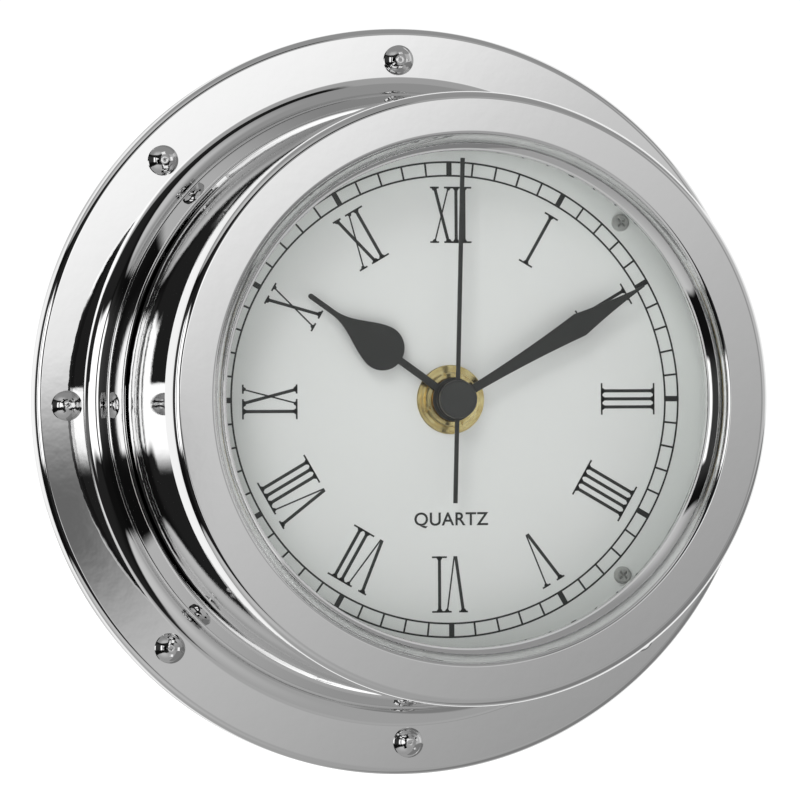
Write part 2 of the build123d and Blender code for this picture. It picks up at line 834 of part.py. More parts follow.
with BuildPart() as second_wheel:
    with BuildSketch(facing(second_layer)):
        with BuildLine():
            Polyline(gear_points(second_teeth, second_module, second_phase), close=True)
        make_face()
    extrude(amount=wheel_thick)
    with BuildSketch(facing(second_layer + wheel_thick)):
        with BuildLine():
            Polyline(gear_points(second_pinion_teeth, third_module, second_phase), close=True)
        make_face()
    extrude(amount=third_layer + pinion_over - second_layer)
    with BuildSketch(facing(arbor_rear)):
        Circle(second_arbor_r)
    extrude(amount=second_hand_depth - arbor_rear)
second_wheel.part.label = "second_wheel"
export_step(second_wheel.part, "parts/second_wheel.step")

with BuildPart() as third_wheel:
    with BuildSketch(facing(third_layer, third_centre)):
        with BuildLine():
            Polyline(gear_points(third_teeth, third_module, third_phase), close=True)
        make_face()
    extrude(amount=wheel_thick)
    with BuildSketch(facing(third_layer + wheel_thick, third_centre)):
        with BuildLine():
            Polyline(gear_points(third_pinion_teeth, centre_module, third_phase), close=True)
        make_face()
    extrude(amount=centre_layer + pinion_over - third_layer)
    with BuildSketch(facing(arbor_rear, third_centre)):
        Circle(arbor_r)
    extrude(amount=arbor_front - arbor_rear)
third_wheel.part.label = "third_wheel"
export_step(third_wheel.part, "parts/third_wheel.step")

with BuildPart() as centre_wheel:
    with BuildSketch(facing(centre_layer)):
        with BuildLine():
            Polyline(gear_points(centre_teeth, centre_module, centre_phase), close=True)
        make_face()
        Circle(hour_bore_r, mode=Mode.SUBTRACT)
    extrude(amount=wheel_thick)
centre_wheel.part.label = "centre_wheel"
export_step(centre_wheel.part, "parts/centre_wheel.step")

# ---------------------------------------------------------------- hand-setting train
minute_phase = 0.0
motion_phase = meshing_phase(motion_teeth, motion_angle + 180, minute_teeth, minute_phase)
hour_phase = meshing_phase(hour_teeth, motion_angle, motion_pinion_teeth, motion_phase)
knob_phase = meshing_phase(knob_teeth, knob_direction + 180, motion_teeth, motion_phase)
minute_pipe_rear = centre_layer - minute_pipe_tail
minute_pipe_front = minute_hand_depth + hand_thick + minute_pipe_past
hour_pipe_front = hour_hand_depth + hand_thick + hour_pipe_past
knob_front = box_rear - knob_gap

with BuildPart() as minute_pipe:
    with BuildSketch(facing(motion_layer)):
        with BuildLine():
            Polyline(gear_points(minute_teeth, motion_module, minute_phase), close=True)
        make_face()
    extrude(amount=wheel_thick)
    with BuildSketch(facing(minute_pipe_rear)):
        Circle(minute_pipe_r)
    extrude(amount=minute_pipe_front - minute_pipe_rear)
    with BuildSketch(facing(minute_pipe_rear)):
        Circle(minute_bore_r)
    extrude(amount=minute_pipe_front - minute_pipe_rear, mode=Mode.SUBTRACT)
minute_pipe.part.label = "minute_pipe"
export_step(minute_pipe.part, "parts/minute_pipe.step")

with BuildPart() as motion_wheel:
    with BuildSketch(facing(motion_layer, motion_centre)):
        with BuildLine():
            Polyline(gear_points(motion_teeth, motion_module, motion_phase), close=True)
        make_face()
    extrude(amount=wheel_thick)
    with BuildSketch(facing(motion_layer + wheel_thick, motion_centre)):
        with BuildLine():
            Polyline(gear_points(motion_pinion_teeth, hour_module, motion_phase), close=True)
        make_face()
    extrude(amount=hour_layer + pinion_over - motion_layer)
    with BuildSketch(facing(motion_layer, motion_centre)):
        Circle(minute_bore_r + running)
    extrude(amount=hour_layer + wheel_thick + pinion_over - motion_layer, mode=Mode.SUBTRACT)
motion_wheel.part.label = "motion_wheel"
export_step(motion_wheel.part, "parts/motion_wheel.step")

with BuildPart() as hour_pipe:
    with BuildSketch(facing(hour_layer)):
        with BuildLine():
            Polyline(gear_points(hour_teeth, hour_module, hour_phase), close=True)
        make_face()
    extrude(amount=wheel_thick)
    with BuildSketch(facing(hour_layer)):
        Circle(hour_pipe_r)
    extrude(amount=hour_pipe_front - hour_layer)
    with BuildSketch(facing(hour_layer)):
        Circle(hour_bore_r)
    extrude(amount=hour_pipe_front - hour_layer, mode=Mode.SUBTRACT)
hour_pipe.part.label = "hour_pipe"
export_step(hour_pipe.part, "parts/hour_pipe.step")

with BuildPart() as setting_knob:
    with BuildSketch(facing(motion_layer, knob_centre)):
        with BuildLine():
            Polyline(gear_points(knob_teeth, motion_module, knob_phase), close=True)
        make_face()
    extrude(amount=wheel_thick)
    with BuildSketch(facing(knob_front, knob_centre)):
        Circle(knob_shaft_r)
    extrude(amount=motion_layer - knob_front)
    with BuildSketch(facing(knob_front, knob_centre)):
        Circle(knob_r)
    extrude(amount=-knob_height, taper=knob_taper)
    with BuildSketch(facing(knob_front, knob_centre)):
        with PolarLocations(knob_r + knob_flute_out, knob_flutes):
            Circle(knob_flute_r)
    extrude(amount=-knob_height, mode=Mode.SUBTRACT)
setting_knob.part.label = "setting_knob"
export_step(setting_knob.part, "parts/setting_knob.step")

# ---------------------------------------------------------------- motor and circuit
coil_middle = stator_depth + stator_thick + core_thick / 2
coil_left = rotor_centre[0] - coil_offset
coil_right = coil_left + coil_length
bar_left = coil_left - stator_leg_width
bar_right = coil_right + stator_leg_width
bar_middle = (bar_left + bar_right) / 2
bar_foot = stator_bar_z - stator_bar_height / 2
leg_top = coil_z + core_height / 2 + stator_leg_over
leg_left = bar_left + stator_leg_width / 2 - stator_leg_inset
leg_right = bar_right - stator_leg_width / 2 + stator_leg_inset

with BuildPart() as stator:
    with BuildSketch(facing(stator_depth)):
        with Locations((bar_middle, stator_bar_z)):
            Rectangle(bar_right - bar_left, stator_bar_height)
        with Locations(rotor_centre):
            Circle(magnet_r + stator_gap + stator_ring)
        with Locations((leg_left, (bar_foot + leg_top) / 2), (leg_right, (bar_foot + leg_top) / 2)):
            Rectangle(stator_leg_width - 2 * stator_leg_inset, leg_top - bar_foot)
        with Locations(rotor_centre):
            Circle(magnet_r + stator_gap, mode=Mode.SUBTRACT)
    extrude(amount=stator_thick)
stator.part.label = "stator"
export_step(stator.part, "parts/stator.step")

with BuildPart() as coil_core:
    with BuildSketch(facing(stator_depth + stator_thick)):
        with Locations((bar_middle, coil_z)):
            Rectangle(bar_right - bar_left, core_height)
    extrude(amount=core_thick)
coil_core.part.label = "coil_core"
export_step(coil_core.part, "parts/coil_core.step")


def across(x):
    """The plane at a place along X that faces +X, with x along +Y and y along +Z."""
    return Plane(origin=(x, -coil_middle, coil_z), x_dir=(0, 1, 0), z_dir=(1, 0, 0))


with BuildPart() as coil_bobbin:
    with BuildSketch(across(coil_left)):
        RectangleRounded(core_thick + 2 * bobbin_wall, core_height + 2 * bobbin_wall, bobbin_corner)
    extrude(amount=coil_length)
    for end in (coil_left, coil_right - bobbin_cheek):
        with BuildSketch(across(end)):
            Circle(coil_r + bobbin_rim)
        extrude(amount=bobbin_cheek)
    with BuildSketch(across(coil_left)):
        Rectangle(core_thick, core_height)
    extrude(amount=coil_length, mode=Mode.SUBTRACT)
coil_bobbin.part.label = "coil_bobbin"
export_step(coil_bobbin.part, "parts/coil_bobbin.step")

with BuildPart() as coil_winding:
    with BuildSketch(across(coil_left + bobbin_cheek)):
        Circle(coil_r)
        RectangleRounded(
            core_thick + 2 * bobbin_wall, core_height + 2 * bobbin_wall, bobbin_corner, mode=Mode.SUBTRACT
        )
    extrude(amount=coil_length - 2 * bobbin_cheek)
coil_winding.part.label = "coil_winding"
export_step(coil_winding.part, "parts/coil_winding.step")

with BuildPart() as circuit_board:
    with BuildSketch(facing(stator_depth)):
        with Locations(board_centre):
            Rectangle(board_width, board_height)
    extrude(amount=board_thick)
circuit_board.part.label = "circuit_board"
export_step(circuit_board.part, "parts/circuit_board.step")

with BuildPart() as circuit_chip:
    with BuildSketch(facing(stator_depth + board_thick, chip_centre)):
        RectangleRounded(chip_side, chip_side, chip_corner)
    extrude(amount=chip_thick)
circuit_chip.part.label = "circuit_chip"
export_step(circuit_chip.part, "parts/circuit_chip.step")

with BuildPart() as quartz_crystal:
    crystal_depth = stator_depth + board_thick + crystal_r + crystal_gap
    with BuildSketch(Plane(origin=(crystal_x, -crystal_depth, crystal_z), x_dir=(1, 0, 0), z_dir=(0, 0, 1))):
        Circle(crystal_r)
    extrude(amount=crystal_length)
    fillet(quartz_crystal.edges().filter_by(GeomType.CIRCLE), crystal_edge)
quartz_crystal.part.label = "quartz_crystal"
export_step(quartz_crystal.part, "parts/quartz_crystal.step")

# ---------------------------------------------------------------- battery and contacts
battery_left = -bay_half + contact_thick + contact_spring_length


def along_bay(x):
    """The plane across the battery bay at a place along X that faces +X."""
    return Plane(origin=(x, -battery_depth, battery_z), x_dir=(0, 1, 0), z_dir=(1, 0, 0))


with BuildPart() as battery:
    with BuildSketch(along_bay(battery_left)):
        Circle(battery_r)
    extrude(amount=battery_length - battery_button)
    fillet(battery.edges().filter_by(GeomType.CIRCLE), battery_edge)
    with BuildSketch(along_bay(battery_left + battery_length - battery_button)):
        Circle(battery_button_r)
    extrude(amount=battery_button)
battery.part.label = "battery"
export_step(battery.part, "parts/battery.step")

with BuildPart() as contact_minus:
    with BuildSketch(along_bay(-bay_half)):
        Rectangle(contact_width, contact_height)
    extrude(amount=contact_thick)
    with BuildSketch(along_bay(-bay_half + contact_thick)):
        Circle(contact_spring_r)
        Circle(contact_spring_r - contact_spring_wire, mode=Mode.SUBTRACT)
    extrude(amount=contact_spring_length)
contact_minus.part.label = "contact_minus"
export_step(contact_minus.part, "parts/contact_minus.step")

with BuildPart() as contact_plus:
    with BuildSketch(along_bay(bay_half - contact_thick)):
        Rectangle(contact_width, contact_height)
    extrude(amount=contact_thick)
contact_plus.part.label = "contact_plus"
export_step(contact_plus.part, "parts/contact_plus.step")
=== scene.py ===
from math import cos, pi, radians, sin

import bmesh
import bpy
from mathutils import Matrix, Vector


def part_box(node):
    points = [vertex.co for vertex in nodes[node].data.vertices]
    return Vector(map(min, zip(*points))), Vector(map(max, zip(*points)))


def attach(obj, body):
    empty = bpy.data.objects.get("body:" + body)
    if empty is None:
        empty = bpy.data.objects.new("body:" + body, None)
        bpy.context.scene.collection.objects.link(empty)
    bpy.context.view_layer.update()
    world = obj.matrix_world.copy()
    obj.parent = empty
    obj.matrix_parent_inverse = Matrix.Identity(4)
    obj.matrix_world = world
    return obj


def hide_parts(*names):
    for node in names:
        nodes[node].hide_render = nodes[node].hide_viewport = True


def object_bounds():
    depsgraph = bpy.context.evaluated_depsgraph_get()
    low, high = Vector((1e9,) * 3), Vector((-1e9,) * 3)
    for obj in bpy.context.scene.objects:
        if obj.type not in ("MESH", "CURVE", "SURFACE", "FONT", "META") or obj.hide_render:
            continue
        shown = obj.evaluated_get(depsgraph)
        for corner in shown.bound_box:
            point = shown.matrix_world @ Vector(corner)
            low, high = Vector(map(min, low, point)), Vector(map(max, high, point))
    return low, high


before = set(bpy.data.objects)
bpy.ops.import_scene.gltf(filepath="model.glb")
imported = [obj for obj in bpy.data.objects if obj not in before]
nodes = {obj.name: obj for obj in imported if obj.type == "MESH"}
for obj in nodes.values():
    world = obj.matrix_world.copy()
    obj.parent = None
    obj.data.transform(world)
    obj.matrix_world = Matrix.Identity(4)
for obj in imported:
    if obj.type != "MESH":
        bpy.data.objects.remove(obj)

cad_low, cad_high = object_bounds()
MM = 0.001


def reach(name):
    """A round node's outer radius, in millimetres."""
    return round(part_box(name)[1].x / MM, 2)


def front(name):
    """How far a node's front stands off the wall, in millimetres."""
    return round(-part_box(name)[0].y / MM, 2)


def back(name):
    """How far a node's back stands off the wall, in millimetres."""
    return round(-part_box(name)[1].y / MM, 2)


# ---------------------------------------------------------------- shader wiring
class Value:
    """A node's output; arithmetic on it adds Math nodes."""

    def __init__(self, shader, socket):
        self.shader = shader
        self.socket = socket

    def math(self, operation, *numbers):
        return self.shader.node("ShaderNodeMath", {"operation": operation}, dict(enumerate(numbers)))

    def __add__(self, other):
        return self.math("ADD", self, other)

    def __sub__(self, other):
        return self.math("SUBTRACT", self, other)

    def __rsub__(self, other):
        return self.math("SUBTRACT", other, self)

    def __mul__(self, other):
        return self.math("MULTIPLY", self, other)

    def __pow__(self, other):
        return self.math("POWER", self, other)

    __radd__ = __add__
    __rmul__ = __mul__


class Shader:
    """A node tree being wired."""

    def __init__(self, tree):
        self.tree = tree
        tree.nodes.clear()

    def node(self, kind, settings=(), inputs=(), output=0):
        """Adds a node: settings first, then each socket's number, colour or incoming value."""
        made = self.tree.nodes.new(kind)
        for name, setting in dict(settings).items():
            setattr(made, name, setting)
        for name, given in dict(inputs).items():
            if isinstance(given, Value):
                self.tree.links.new(given.socket, made.inputs[name])
            else:
                made.inputs[name].default_value = given
        return Value(self, made.outputs[output]) if made.outputs else None

    def place(self, scale=(1, 1, 1), turn=(0, 0, 0)):
        """The place on the object, in millimetres before scale and turn."""
        where = self.node("ShaderNodeTexCoord", output=3)
        sizes = {"Vector": where, "Scale": [s / MM for s in scale], "Rotation": turn}
        return self.node("ShaderNodeMapping", {}, sizes)

    def split(self, vector):
        return [self.node("ShaderNodeSeparateXYZ", {}, {0: vector}, i) for i in range(3)]

    def sine(self, value):
        return value.math("SINE", value)

    def noise(self, where, scale, detail=3.0, roughness=0.5):
        inputs = {"Vector": where, "Scale": scale, "Detail": detail, "Roughness": roughness}
        return self.node("ShaderNodeTexNoise", {}, inputs)

    def spread(self, value, low, high, to_low=0.0, to_high=1.0):
        """Maps low..high to to_low..to_high with eased ends, held beyond both."""
        inputs = {0: value, 1: low, 2: high, 3: to_low, 4: to_high}
        return self.node("ShaderNodeMapRange", {"interpolation_type": "SMOOTHSTEP"}, inputs)

    def blend(self, factor, a, b):
        """Mixes two colours."""
        return self.node("ShaderNodeMix", {"data_type": "RGBA"}, {0: factor, 6: a, 7: b}, 2)

    def bump(self, height, strength, distance):
        inputs = {"Height": height, "Strength": strength, "Distance": distance}
        return self.node("ShaderNodeBump", {}, inputs)

    def surface(self, **sockets):
        """The finished surface; a socket's spaces are written as underscores."""
        named = {name.replace("_", " "): given for name, given in sockets.items()}
        return self.node("ShaderNodeBsdfPrincipled", {}, named)


def material(name, colour):
    made = bpy.data.materials.new(name)
    made.use_nodes = True
    made.diffuse_color = (*colour[:3], 1)
    return made, Shader(made.node_tree)


def finished(made, shader, surface):
    shader.node("ShaderNodeOutputMaterial", {}, {"Surface": surface})
    return made


def grey(level):
    return (level, level, level, 1)


def tinted(colour, share=1.0):
    """A colour with each part dimmed to a share, ready for a socket."""
    return (*[part * share for part in colour], 1)


# ---------------------------------------------------------------- finishes
def polished_chrome(name="polished_chrome", level=0.80, haze=0.006):
    """Mirror plating with a faint wipe and a few dull specks; more haze makes a satin one."""
    made, sh = material(name, grey(level))
    where = sh.place()
    haze_map = sh.spread(sh.noise(where, 0.05, 4.0, 0.6), 0.35, 0.7, haze, haze * 2.2)
    wipe = sh.noise(sh.place((0.4, 3.0, 0.4), (0, 0, 0.3)), 0.9, 2.0)
    specks = sh.spread(sh.noise(where, 2.4, 1.0), 0.72, 0.78, 0.0, 0.02)
    tone = sh.blend(sh.noise(where, 0.03, 2.0), grey(level * 0.985), grey(level))
    bump = sh.bump(wipe, 0.012, 0.0002)
    skin = sh.surface(Base_Color=tone, Metallic=1.0, Roughness=haze_map + specks, Normal=bump)
    return finished(made, sh, skin)


def turned_brass():
    """Lacquered brass with a lathe's fine rings and a little stain."""
    made, sh = material("turned_brass", (0.83, 0.62, 0.25))
    x, y, z = sh.split(sh.place())
    radius = (x * x + z * z) ** 0.5
    rings = sh.sine(radius * 34.0 + y * 30.0)
    stain = sh.noise(sh.place(), 0.6, 4.0, 0.6)
    tone = sh.blend(sh.spread(stain, 0.3, 0.75), (0.95, 0.80, 0.42, 1), (0.80, 0.60, 0.24, 1))
    rough = sh.spread(stain, 0.3, 0.8, 0.14, 0.30)
    skin = sh.surface(Base_Color=tone, Metallic=1.0, Roughness=rough, Normal=sh.bump(rings, 0.25, 0.00001))
    return finished(made, sh, skin)


def brushed(name, colour, rough=0.32):
    """Bare metal brushed along x."""
    made, sh = material(name, colour)
    lines = sh.noise(sh.place((0.15, 4.0, 4.0)), 3.0, 3.0, 0.7)
    skin = sh.surface(
        Base_Color=sh.blend(lines, tinted(colour, 0.86), tinted(colour)),
        Metallic=1.0,
        Roughness=sh.spread(lines, 0.2, 0.8, rough * 0.8, rough * 1.25),
        Normal=sh.bump(lines, 0.15, 0.00003),
    )
    return finished(made, sh, skin)


def moulded(name, colour, rough=0.45):
    """Moulded plastic, or paint with the same fine grain."""
    made, sh = material(name, colour)
    fine = sh.noise(sh.place(), 5.0, 3.0, 0.6)
    wide = sh.noise(sh.place(), 0.12, 2.0)
    skin = sh.surface(
        Base_Color=sh.blend(wide, tinted(colour, 0.9), tinted(colour)),
        Roughness=sh.spread(fine, 0.3, 0.7, rough * 0.85, rough * 1.15),
        Normal=sh.bump(fine, 0.25, 0.00004),
    )
    return finished(made, sh, skin)


def dial_paint():
    """White dial paint, painted a little lighter towards the minute track to offset the shade the bezel
    casts there: painted light.
    """
    made, sh = material("dial_paint", (0.80, 0.81, 0.80))
    x, y, z = sh.split(sh.place())
    # painted light: the dial is made lighter from the figures out to the rim, where the bezel shades it
    edge = sh.spread((x * x + z * z) ** 0.5, 34.0, 54.0)
    fine = sh.noise(sh.place(), 6.0, 2.0)
    skin = sh.surface(
        Base_Color=sh.blend(edge, (0.80, 0.79, 0.795, 1), (0.90, 0.91, 0.90, 1)),
        Roughness=sh.spread(fine, 0.3, 0.7, 0.42, 0.52),
        Normal=sh.bump(fine, 0.08, 0.00002),
    )
    return finished(made, sh, skin)


def hand_paint(name="hand_paint", level=0.024):
    made, sh = material(name, grey(level))
    fine = sh.noise(sh.place(), 7.0, 3.0)
    skin = sh.surface(
        Base_Color=sh.blend(fine, grey(level * 0.8), grey(level * 1.2)),
        Roughness=sh.spread(fine, 0.3, 0.7, 0.34, 0.46),
        Normal=sh.bump(fine, 0.06, 0.00002),
    )
    return finished(made, sh, skin)


def clear_glass():
    """Flat glass: clear, with a weak sharp reflection that smears vary."""
    made, sh = material("clear_glass", grey(0.95))
    smear = sh.noise(sh.place(), 0.06, 3.0)
    tint = sh.node("ShaderNodeBsdfTransparent", {}, {"Color": (0.965, 0.975, 0.968, 1)})
    gloss = sh.node("ShaderNodeBsdfAnisotropic", {}, {"Color": grey(1.0), "Roughness": 0.0})
    facing = sh.node("ShaderNodeFresnel", {}, {"IOR": 1.42})
    share = facing * sh.spread(smear, 0.3, 0.7, 0.42, 0.5)
    return finished(made, sh, sh.node("ShaderNodeMixShader", {}, {0: share, 1: tint, 2: gloss}))


def wound_wire():
    """Enamelled copper wire wound round x, painted darker in the grooves between the turns and lighter on
    their crests: painted shade and highlight.
    """
    made, sh = material("wound_wire", (0.62, 0.27, 0.12))
    turns = sh.sine(sh.split(sh.place())[0] * 40.0)
    # painted shade and highlight: dark in the grooves between turns, light on the crests
    tone = sh.blend(sh.spread(turns, -1, 1), (0.38, 0.13, 0.05, 1), (0.70, 0.30, 0.12, 1))
    skin = sh.surface(Base_Color=tone, Metallic=0.8, Roughness=0.3, Normal=sh.bump(turns, 0.6, 0.00005))
    return finished(made, sh, skin)


def cell_jacket():
    """A dark printed jacket with a copper band at one end and bare steel ends."""
    made, sh = material("cell_jacket", (0.1, 0.12, 0.16))
    x = sh.split(sh.place())[0]
    band = sh.spread(x, 11.8, 12.0)
    ends = sh.spread((x * x) ** 0.5, 24.2, 24.4)
    body = sh.blend(band, (0.03, 0.04, 0.055, 1), (0.55, 0.36, 0.10, 1))
    fine = sh.noise(sh.place(), 1.5, 3.0)
    skin = sh.surface(
        Base_Color=sh.blend(ends, body, (0.75, 0.75, 0.74, 1)),
        Metallic=sh.spread(ends + band, 0.0, 1.0, 0.2, 0.9),
        Roughness=sh.spread(fine, 0.3, 0.7, 0.22, 0.34),
    )
    return finished(made, sh, skin)


def circuit_lacquer():
    """Green lacquer over raised tracks."""
    made, sh = material("circuit_lacquer", (0.04, 0.22, 0.10))
    cells = {"Vector": sh.place(), "Scale": 0.5}
    tracks = sh.node("ShaderNodeTexVoronoi", {"feature": "DISTANCE_TO_EDGE"}, cells)
    line = sh.spread(tracks, 0.04, 0.06)
    tone = sh.blend(line, (0.09, 0.33, 0.15, 1), (0.03, 0.17, 0.07, 1))
    skin = sh.surface(Base_Color=tone, Roughness=0.3, Normal=sh.bump(line, 0.3, 0.00003))
    return finished(made, sh, skin)


def gasket_rubber():
    made, sh = material("gasket_rubber", grey(0.03))
    fine = sh.noise(sh.place(), 3.0, 4.0, 0.7)
    skin = sh.surface(
        Base_Color=sh.blend(fine, grey(0.018), grey(0.035)),
        Roughness=sh.spread(fine, 0.3, 0.7, 0.65, 0.8),
        Normal=sh.bump(fine, 0.3, 0.00005),
    )
    return finished(made, sh, skin)


chrome = polished_chrome()
print_ink = hand_paint("print_ink", 0.022)

for names, finish in (
    (("mounting_base", "case_drum", "bezel"), chrome),
    (("flange_screws",), polished_chrome("bright_steel", 0.72, 0.05)),
    (("dial_screws",), moulded("satin_screw", (0.42, 0.42, 0.41), 0.3)),
    (("lock_pins",), brushed("pin_steel", (0.6, 0.6, 0.6), 0.28)),
    (("dial_support",), brushed("ring_alloy", (0.66, 0.66, 0.67), 0.4)),
    (("glass",), clear_glass()),
    (("glass_retainer", "dial_cushion"), gasket_rubber()),
    (("dial",), dial_paint()),
    (("shaft_washer", "shaft_nut", "threaded_bush", "minute_pipe"), turned_brass()),
    (("hour_hand", "minute_hand", "second_hand"), hand_paint()),
    (("centre_cap",), hand_paint("cap_paint", 0.035)),
    (("movement_front", "movement_back"), moulded("black_moulding", (0.022, 0.022, 0.024), 0.5)),
    (
        ("train_bridge", "coil_bobbin", "hour_pipe", "motion_wheel", "second_wheel")
        + ("step_wheel", "rotor", "third_wheel", "centre_wheel"),
        moulded("natural_moulding", (0.80, 0.79, 0.73), 0.4),
    ),
    (("setting_knob",), moulded("grey_moulding", (0.60, 0.60, 0.58), 0.42)),
    (("stator", "coil_core", "quartz_crystal"), brushed("stamped_steel", (0.62, 0.62, 0.63))),
    (("contact_minus", "contact_plus"), brushed("spring_strip", (0.72, 0.69, 0.60), 0.25)),
    (("coil_winding",), wound_wire()),
    (("circuit_board",), circuit_lacquer()),
    (("circuit_chip",), moulded("potting", (0.015, 0.015, 0.015), 0.25)),
    (("battery",), cell_jacket()),
    (("rotor_magnet",), brushed("magnet_grey", (0.16, 0.16, 0.165), 0.5)),
):
    for name in names:
        for index in range(len(nodes[name].data.materials)):
            nodes[name].data.materials[index] = finish


# ---------------------------------------------------------------- new pieces
def added(name, mesh, finish, body):
    """Puts a finished mesh in the scene as a piece of a body."""
    mesh.materials.clear()
    mesh.materials.append(finish)
    made = bpy.data.objects.new(name, mesh)
    bpy.context.scene.collection.objects.link(made)
    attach(made, body)
    return made


def piece(name, bm, finish, body):
    bmesh.ops.recalc_face_normals(bm, faces=bm.faces)
    mesh = bpy.data.meshes.new(name)
    bm.to_mesh(mesh)
    bm.free()
    return added(name, mesh, finish, body)


def spun(bm, profile, steps):
    """Spins a closed outline round the clock's axis; its points are radius and depth from the wall."""
    verts = [bm.verts.new((radius * MM, -depth * MM, 0)) for radius, depth in profile]
    edges = [bm.edges.new((verts[i], verts[i - 1])) for i in range(len(verts))]
    bmesh.ops.spin(
        bm, geom=verts + edges, cent=(0, 0, 0), axis=(0, 1, 0), angle=2 * pi, steps=steps, use_merge=True
    )


# ---------------------------------------------------------------- dial print
DIAL_FRONT = front("dial")
INK = 0.03
TRACK_INNER, TRACK_OUTER = 43.32, 45.96
TRACK_LINE, MINUTE_LINE, HOUR_LINE = 0.36, 0.38, 1.05
FIGURE_FOOT, FIGURE_TOP = 30.3, 41.2
STEM, HAIRLINE, SERIF = 0.62, 0.30, 0.34
STEM_PITCH, AFTER_SLANT = 1.57, 1.5
HALF_SERIF, SHORT_SERIF = 1.5, 0.88
FLARE_WIDTH, FLARE_DEPTH = 0.3, 0.42
X_WIDTH, V_WIDTH = 2.8, 3.25
V_STEM_BACK, V_HAIRLINE_ON = 0.12, 0.16
WORD_HEIGHT, WORD_WEIGHT, WORD_SPACING, WORD_FOOT = 3.55, 0.05, 1.05, -24.3
UPRIGHT = Matrix.Rotation(radians(90), 4, "X")


def on_dial(clock_angle):
    """From a drawing with y pointing outwards to the dial's front at a clock angle."""
    turn = Matrix.Rotation(radians(clock_angle), 4, "Y")
    return Matrix.Translation((0, -DIAL_FRONT * MM, 0)) @ turn @ UPRIGHT


def inked(bm, corners, place):
    """A thin printed shape with the given corners, in millimetres on the drawing."""
    face = bm.faces.new([bm.verts.new(place @ Vector((x * MM, y * MM, 0))) for x, y in corners])
    raised = bmesh.ops.extrude_face_region(bm, geom=[face])["geom"]
    verts = [v for v in raised if isinstance(v, bmesh.types.BMVert)]
    bmesh.ops.translate(bm, verts=verts, vec=(0, -INK * MM, 0))


def stroke(bm, foot, foot_width, foot_line, top, top_width, top_line, place):
    """A straight stroke between two lines across the drawing, each end cut level with its line."""
    corners = [(foot - foot_width / 2, foot_line), (foot + foot_width / 2, foot_line)]
    corners += [(top + top_width / 2, top_line), (top - top_width / 2, top_line)]
    inked(bm, corners, place)


def ring(bm, radius, width):
    low, high = radius - width / 2, radius + width / 2
    top = DIAL_FRONT + INK
    spun(bm, [(low, DIAL_FRONT), (high, DIAL_FRONT), (high, top), (low, top)], 240)


def minute_track():
    bm = bmesh.new()
    ring(bm, TRACK_INNER, TRACK_LINE)
    ring(bm, TRACK_OUTER, TRACK_LINE)
    for minute in range(60):
        width = MINUTE_LINE if minute % 5 else HOUR_LINE
        stroke(bm, 0, width, TRACK_INNER, 0, width, TRACK_OUTER, on_dial(6 * minute))
    piece("minute_track", bm, print_ink, "case")


def figure_strokes(figure):
    """Each stroke's foot, top and width, with the whole figure centred."""
    x, before, strokes = 0.0, None, []
    for letter in figure:
        if before:
            x += STEM_PITCH if letter == before == "I" else AFTER_SLANT
        if letter == "I":
            strokes.append((x, x, STEM))
        elif letter == "X":
            strokes += [(x + X_WIDTH, x, STEM), (x, x + X_WIDTH, HAIRLINE)]
            x += X_WIDTH
        else:
            point = x + V_WIDTH / 2
            strokes += [(point - V_STEM_BACK, x, STEM), (point + V_HAIRLINE_ON, x + V_WIDTH, HAIRLINE)]
            x += V_WIDTH
        before = letter
    return [(foot - x / 2, top - x / 2, width) for foot, top, width in strokes]


def stroke_end(bm, at, width, half_serif, line, inward, place):
    """A stroke's serif, and the small flare where the stroke meets it."""
    serif = 2 * half_serif
    stroke(bm, at, serif, line - SERIF / 2, at, serif, line + SERIF / 2, place)
    start = line + inward * SERIF / 2
    stroke(bm, at, width + 2 * FLARE_WIDTH, start, at, width, start + inward * FLARE_DEPTH, place)


def hour_figures():
    bm = bmesh.new()
    foot_line, top_line = FIGURE_FOOT + SERIF / 2, FIGURE_TOP - SERIF / 2
    for hour, figure in enumerate("I II III IIII V VI VII VIII IX X XI XII".split(), 1):
        place = on_dial(30 * hour)
        strokes = figure_strokes(figure)
        for foot, top, width in strokes:
            stroke(bm, foot, width, FIGURE_FOOT, top, width, FIGURE_TOP, place)
        for foot, top, width in strokes:
            half_serif = HALF_SERIF if foot == top else SHORT_SERIF
            pointed = foot != top and "V" in figure
            if not pointed:
                stroke_end(bm, foot, width, half_serif, foot_line, 1, place)
            stroke_end(bm, top, width, half_serif, top_line, -1, place)
    piece("hour_figures", bm, print_ink, "case")


def kind_word():
    """The plain word under the hub that says what drives the hands."""
    font = bpy.data.curves.new("kind_word", "FONT")
    font.body = "QUARTZ"
    font.align_x = "CENTER"
    font.size = WORD_HEIGHT * MM
    font.offset = WORD_WEIGHT * MM
    font.space_character = WORD_SPACING
    font.extrude = INK / 2 * MM
    outline = bpy.data.objects.new("kind_word_outline", font)
    bpy.context.scene.collection.objects.link(outline)
    bpy.context.view_layer.update()
    mesh = bpy.data.meshes.new_from_object(outline)
    bpy.data.objects.remove(outline)
    middle = Vector((0, -DIAL_FRONT - INK / 2, WORD_FOOT)) * MM
    mesh.transform(Matrix.Translation(middle) @ UPRIGHT)
    mesh.name = "kind_word"
    added("kind_word", mesh, print_ink, "case")


minute_track()
hour_figures()
kind_word()


# ---------------------------------------------------------------- turned chrome rings
DRUM, SHOULDER = reach("case_drum"), front("case_drum")
BEZEL, CROWN, SPIGOT_END = reach("bezel"), front("bezel"), back("bezel")
FACE = CROWN - 0.06
SPIGOT = reach("dial_support") - 0.05
SEAT, GLASS_FACE = reach("glass") + 0.05, front("glass")
LIP, LIP_HEIGHT, LIP_ROUND = BEZEL - 11.45, 1.56, 0.35
FACE_OUTER, OUTER_ROUND = BEZEL - 1.77, 1.5
FACE_INNER, INNER_ROUND = BEZEL - 7.87, 0.8
DISH_CENTRE, DISH_ROUND = (BEZEL - 14.6, CROWN + 1.26), 6.2

